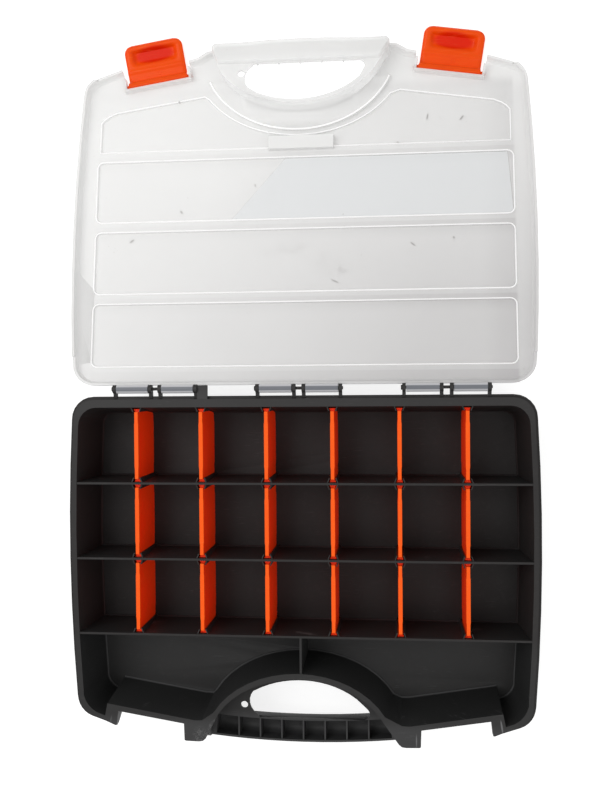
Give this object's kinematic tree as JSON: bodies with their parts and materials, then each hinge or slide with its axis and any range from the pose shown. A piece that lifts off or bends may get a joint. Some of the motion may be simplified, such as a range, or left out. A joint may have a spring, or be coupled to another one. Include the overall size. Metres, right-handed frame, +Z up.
{
  "type": "parts organizer",
  "caption": "Portable parts organizer case with a compartment tray, lift-out dividers, a hinged see-through lid, snap latches and a split carrying handle.",
  "frame": {"origin": "centre of the tray's base, on the surface it stands on", "axes": "+Z up, +Y towards the hinge and the laid-back lid, -Y towards the carrying handle, X across the case's width"},
  "size_m": [0.379, 0.5882, 0.055],
  "materials": {
    "tray_plastic": "moulded black polypropylene, fine texture, satin",
    "clear_plastic": "translucent frosted polypropylene, lightly scuffed",
    "latch_plastic": "moulded orange plastic, semi-gloss",
    "divider_plastic": "moulded orange plastic, satin",
    "pin_plastic": "dark moulded rod, satin"
  },
  "bodies": {
    "tray_body": {"tray": "tray_plastic", "hinge_pin_left": "pin_plastic", "hinge_pin_centre": "pin_plastic", "hinge_pin_right": "pin_plastic"},
    "lid_body": {"lid": "clear_plastic"},
    "latch_left_body": {"latch_left": "latch_plastic"},
    "latch_right_body": {"latch_right": "latch_plastic"},
    "divider_body_r1_c1": {"divider_r1_c1": "divider_plastic"},
    "divider_body_r1_c2": {"divider_r1_c2": "divider_plastic"},
    "divider_body_r1_c3": {"divider_r1_c3": "divider_plastic"},
    "divider_body_r1_c4": {"divider_r1_c4": "divider_plastic"},
    "divider_body_r1_c5": {"divider_r1_c5": "divider_plastic"},
    "divider_body_r1_c6": {"divider_r1_c6": "divider_plastic"},
    "divider_body_r2_c1": {"divider_r2_c1": "divider_plastic"},
    "divider_body_r2_c2": {"divider_r2_c2": "divider_plastic"},
    "divider_body_r2_c3": {"divider_r2_c3": "divider_plastic"},
    "divider_body_r2_c4": {"divider_r2_c4": "divider_plastic"},
    "divider_body_r2_c5": {"divider_r2_c5": "divider_plastic"},
    "divider_body_r2_c6": {"divider_r2_c6": "divider_plastic"},
    "divider_body_r3_c1": {"divider_r3_c1": "divider_plastic"},
    "divider_body_r3_c2": {"divider_r3_c2": "divider_plastic"},
    "divider_body_r3_c3": {"divider_r3_c3": "divider_plastic"},
    "divider_body_r3_c4": {"divider_r3_c4": "divider_plastic"},
    "divider_body_r3_c5": {"divider_r3_c5": "divider_plastic"},
    "divider_body_r3_c6": {"divider_r3_c6": "divider_plastic"}
  },
  "joints": [
    {"name": "lid_hinge", "type": "hinge", "parent": "tray_body", "child": "lid_body", "pos_m": [0, 0.1454, 0.0514], "axis": [-1, 0, 0], "range_deg": [-188.4, 0]},
    {"name": "latch_left_hinge", "type": "hinge", "parent": "lid_body", "child": "latch_left_body", "pos_m": [-0.1223, 0.40616, 0.00663], "axis": [-0.9874, -0.1565, 0.0231], "range_deg": [-76.4, 0]},
    {"name": "latch_right_hinge", "type": "hinge", "parent": "lid_body", "child": "latch_right_body", "pos_m": [0.1223, 0.40616, 0.00663], "axis": [-0.9874, 0.1565, -0.0231], "range_deg": [-76.4, 0]},
    {"name": "divider_lift_r1_c1", "type": "slide", "parent": "tray_body", "child": "divider_body_r1_c1", "axis": [0, 0, 1], "range_m": [0, 0.055]},
    {"name": "divider_lift_r1_c2", "type": "slide", "parent": "tray_body", "child": "divider_body_r1_c2", "axis": [0, 0, 1], "range_m": [0, 0.055]},
    {"name": "divider_lift_r1_c3", "type": "slide", "parent": "tray_body", "child": "divider_body_r1_c3", "axis": [0, 0, 1], "range_m": [0, 0.055]},
    {"name": "divider_lift_r1_c4", "type": "slide", "parent": "tray_body", "child": "divider_body_r1_c4", "axis": [0, 0, 1], "range_m": [0, 0.055]},
    {"name": "divider_lift_r1_c5", "type": "slide", "parent": "tray_body", "child": "divider_body_r1_c5", "axis": [0, 0, 1], "range_m": [0, 0.055]},
    {"name": "divider_lift_r1_c6", "type": "slide", "parent": "tray_body", "child": "divider_body_r1_c6", "axis": [0, 0, 1], "range_m": [0, 0.055]},
    {"name": "divider_lift_r2_c1", "type": "slide", "parent": "tray_body", "child": "divider_body_r2_c1", "axis": [0, 0, 1], "range_m": [0, 0.055]},
    {"name": "divider_lift_r2_c2", "type": "slide", "parent": "tray_body", "child": "divider_body_r2_c2", "axis": [0, 0, 1], "range_m": [0, 0.055]},
    {"name": "divider_lift_r2_c3", "type": "slide", "parent": "tray_body", "child": "divider_body_r2_c3", "axis": [0, 0, 1], "range_m": [0, 0.055]},
    {"name": "divider_lift_r2_c4", "type": "slide", "parent": "tray_body", "child": "divider_body_r2_c4", "axis": [0, 0, 1], "range_m": [0, 0.055]},
    {"name": "divider_lift_r2_c5", "type": "slide", "parent": "tray_body", "child": "divider_body_r2_c5", "axis": [0, 0, 1], "range_m": [0, 0.055]},
    {"name": "divider_lift_r2_c6", "type": "slide", "parent": "tray_body", "child": "divider_body_r2_c6", "axis": [0, 0, 1], "range_m": [0, 0.055]},
    {"name": "divider_lift_r3_c1", "type": "slide", "parent": "tray_body", "child": "divider_body_r3_c1", "axis": [0, 0, 1], "range_m": [0, 0.055]},
    {"name": "divider_lift_r3_c2", "type": "slide", "parent": "tray_body", "child": "divider_body_r3_c2", "axis": [0, 0, 1], "range_m": [0, 0.055]},
    {"name": "divider_lift_r3_c3", "type": "slide", "parent": "tray_body", "child": "divider_body_r3_c3", "axis": [0, 0, 1], "range_m": [0, 0.055]},
    {"name": "divider_lift_r3_c4", "type": "slide", "parent": "tray_body", "child": "divider_body_r3_c4", "axis": [0, 0, 1], "range_m": [0, 0.055]},
    {"name": "divider_lift_r3_c5", "type": "slide", "parent": "tray_body", "child": "divider_body_r3_c5", "axis": [0, 0, 1], "range_m": [0, 0.055]},
    {"name": "divider_lift_r3_c6", "type": "slide", "parent": "tray_body", "child": "divider_body_r3_c6", "axis": [0, 0, 1], "range_m": [0, 0.055]}
  ]
}
